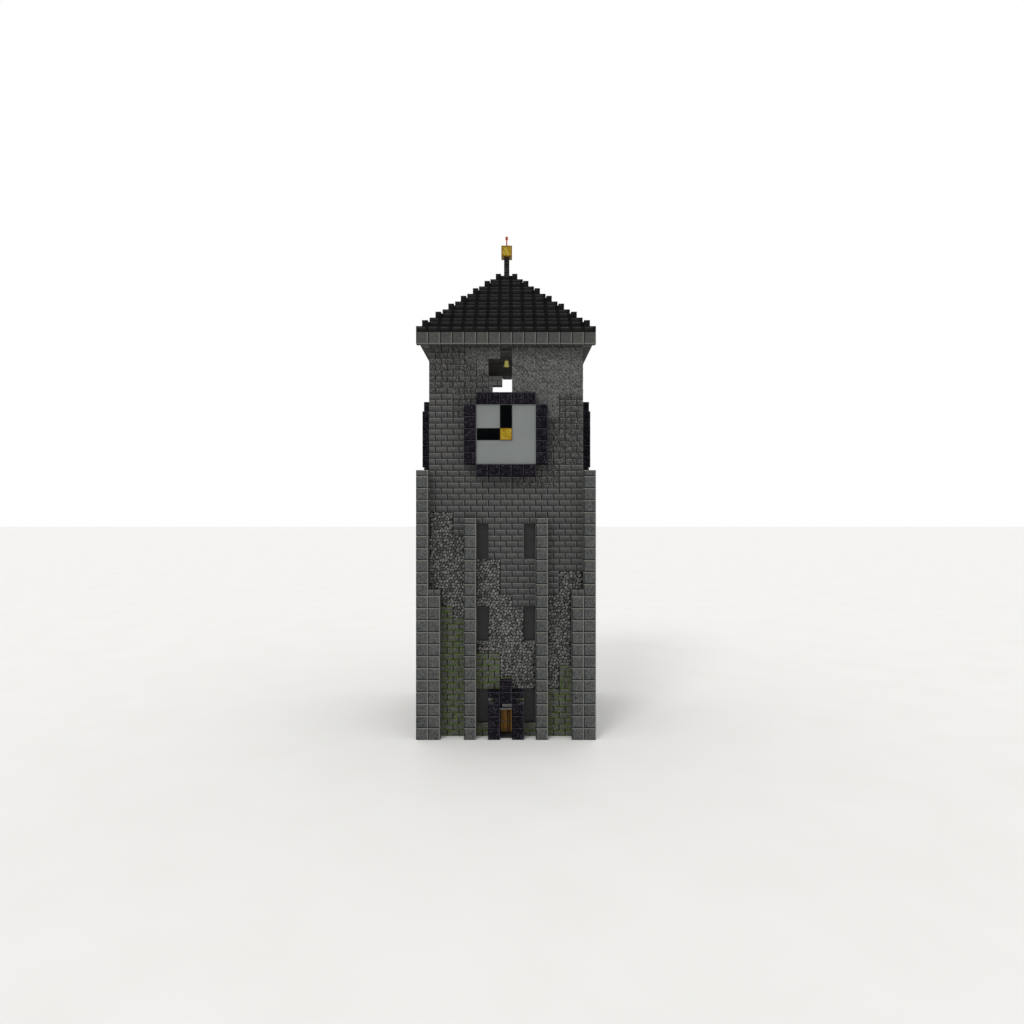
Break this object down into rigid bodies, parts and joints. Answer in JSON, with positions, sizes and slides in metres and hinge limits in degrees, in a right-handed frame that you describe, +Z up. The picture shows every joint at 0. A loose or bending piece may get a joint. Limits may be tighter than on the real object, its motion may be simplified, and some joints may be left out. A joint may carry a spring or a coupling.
{
  "type": "clock tower, half-scale model",
  "caption": "Half-scale model of a square stone clock tower with a stepped roof, an open belfry, a dial on every side and a portal with a plank door.",
  "frame": {"origin": "centre of the square footprint at ground level", "axes": "+Z up, the door faces -Y, +X to the right as seen from the front"},
  "size_m": [7.5, 7.5, 22.5],
  "materials": {
    "brick_stone": "weathered stone brick",
    "cut_stone": "cut stone blocks",
    "rough_stone": "rough rubble",
    "dark_stone": "dark dressed stone",
    "dial_stone": "smooth pale stone",
    "glass": "dark glass",
    "floor_wood": "sawn boards",
    "door_wood": "stained planks",
    "iron": "black iron",
    "hand_black": "black painted sheet",
    "gilt": "gilded",
    "copper": "copper"
  },
  "bodies": {
    "tower": {"arch_infill": "rough_stone", "back_wall": "brick_stone", "belfry_floor": "floor_wood", "belfry_wall_back": "brick_stone", "belfry_wall_front": "brick_stone", "belfry_wall_left": "brick_stone", "belfry_wall_right": "brick_stone", "bell_hanger": "iron", "buttresses": "cut_stone", "clock_arbors": "iron", "clock_dials": "dial_stone", "clock_frames": "dark_stone", "corner_piers": "cut_stone", "cornice_back": "cut_stone", "cornice_front": "cut_stone", "cornice_left": "cut_stone", "cornice_right": "cut_stone", "door_pintles": "iron", "door_threshold": "dark_stone", "door_transom": "cut_stone", "first_floor": "floor_wood", "front_wall_left": "brick_stone", "front_wall_over_door": "brick_stone", "front_wall_right": "brick_stone", "gilded_block": "gilt", "ground_floor": "dark_stone", "left_wall": "brick_stone", "lightning_rod": "copper", "mast": "iron", "pilasters": "cut_stone", "portal_head": "dark_stone", "portal_jambs": "dark_stone", "right_wall": "brick_stone", "roof_course_1": "dark_stone", "roof_course_2": "dark_stone", "roof_course_3": "dark_stone", "roof_course_4": "dark_stone", "roof_course_5": "dark_stone", "roof_course_6": "dark_stone", "roof_course_7": "dark_stone", "roof_deck": "dark_stone", "second_floor": "floor_wood", "windows_back": "glass", "windows_front": "glass", "windows_left": "glass", "windows_right": "glass"},
    "door": {"door_leaf": "door_wood", "door_handle": "iron", "door_straps": "iron"},
    "bell_body": {"bell": "gilt"},
    "minute_front": {"minute_hand_front": "hand_black"},
    "hour_front": {"hour_hand_front": "hand_black"},
    "minute_right": {"minute_hand_right": "hand_black"},
    "hour_right": {"hour_hand_right": "hand_black"},
    "minute_back": {"minute_hand_back": "hand_black"},
    "hour_back": {"hour_hand_back": "hand_black"},
    "minute_left": {"minute_hand_left": "hand_black"},
    "hour_left": {"hour_hand_left": "hand_black"}
  },
  "joints": [
    {"name": "door_hinge", "type": "hinge", "parent": "tower", "child": "door", "pos_m": [0.25, -2.726, 0.5], "axis": [0, 0, -1], "range_deg": [0, 100]},
    {"name": "bell_swing", "type": "hinge", "parent": "tower", "child": "bell_body", "pos_m": [0, -1, 16.455], "axis": [1, 0, 0], "range_deg": [-30, 30]},
    {"name": "minute_front_turn", "type": "hinge", "parent": "tower", "child": "minute_front", "pos_m": [0, -3.75, 12.75], "axis": [0, 1, 0], "continuous": true},
    {"name": "minute_right_turn", "type": "hinge", "parent": "tower", "child": "minute_right", "pos_m": [3.75, 0, 12.75], "axis": [-1, 0, 0], "continuous": true},
    {"name": "minute_back_turn", "type": "hinge", "parent": "tower", "child": "minute_back", "pos_m": [0, 3.75, 12.75], "axis": [0, -1, 0], "continuous": true},
    {"name": "minute_left_turn", "type": "hinge", "parent": "tower", "child": "minute_left", "pos_m": [-3.75, 0, 12.75], "axis": [1, 0, 0], "continuous": true},
    {"name": "hour_front_turn", "type": "hinge", "parent": "tower", "child": "hour_front", "pos_m": [0, -3.75, 12.75], "axis": [0, 1, 0], "continuous": true},
    {"name": "hour_right_turn", "type": "hinge", "parent": "tower", "child": "hour_right", "pos_m": [3.75, 0, 12.75], "axis": [-1, 0, 0], "continuous": true},
    {"name": "hour_back_turn", "type": "hinge", "parent": "tower", "child": "hour_back", "pos_m": [0, 3.75, 12.75], "axis": [0, -1, 0], "continuous": true},
    {"name": "hour_left_turn", "type": "hinge", "parent": "tower", "child": "hour_left", "pos_m": [-3.75, 0, 12.75], "axis": [1, 0, 0], "continuous": true}
  ],
  "couplings": [
    {"joint": "minute_right_turn", "follows": "minute_front_turn", "ratio": 1},
    {"joint": "minute_back_turn", "follows": "minute_front_turn", "ratio": 1},
    {"joint": "minute_left_turn", "follows": "minute_front_turn", "ratio": 1},
    {"joint": "hour_front_turn", "follows": "minute_front_turn", "ratio": 0.083333},
    {"joint": "hour_right_turn", "follows": "minute_front_turn", "ratio": 0.083333},
    {"joint": "hour_back_turn", "follows": "minute_front_turn", "ratio": 0.083333},
    {"joint": "hour_left_turn", "follows": "minute_front_turn", "ratio": 0.083333}
  ]
}
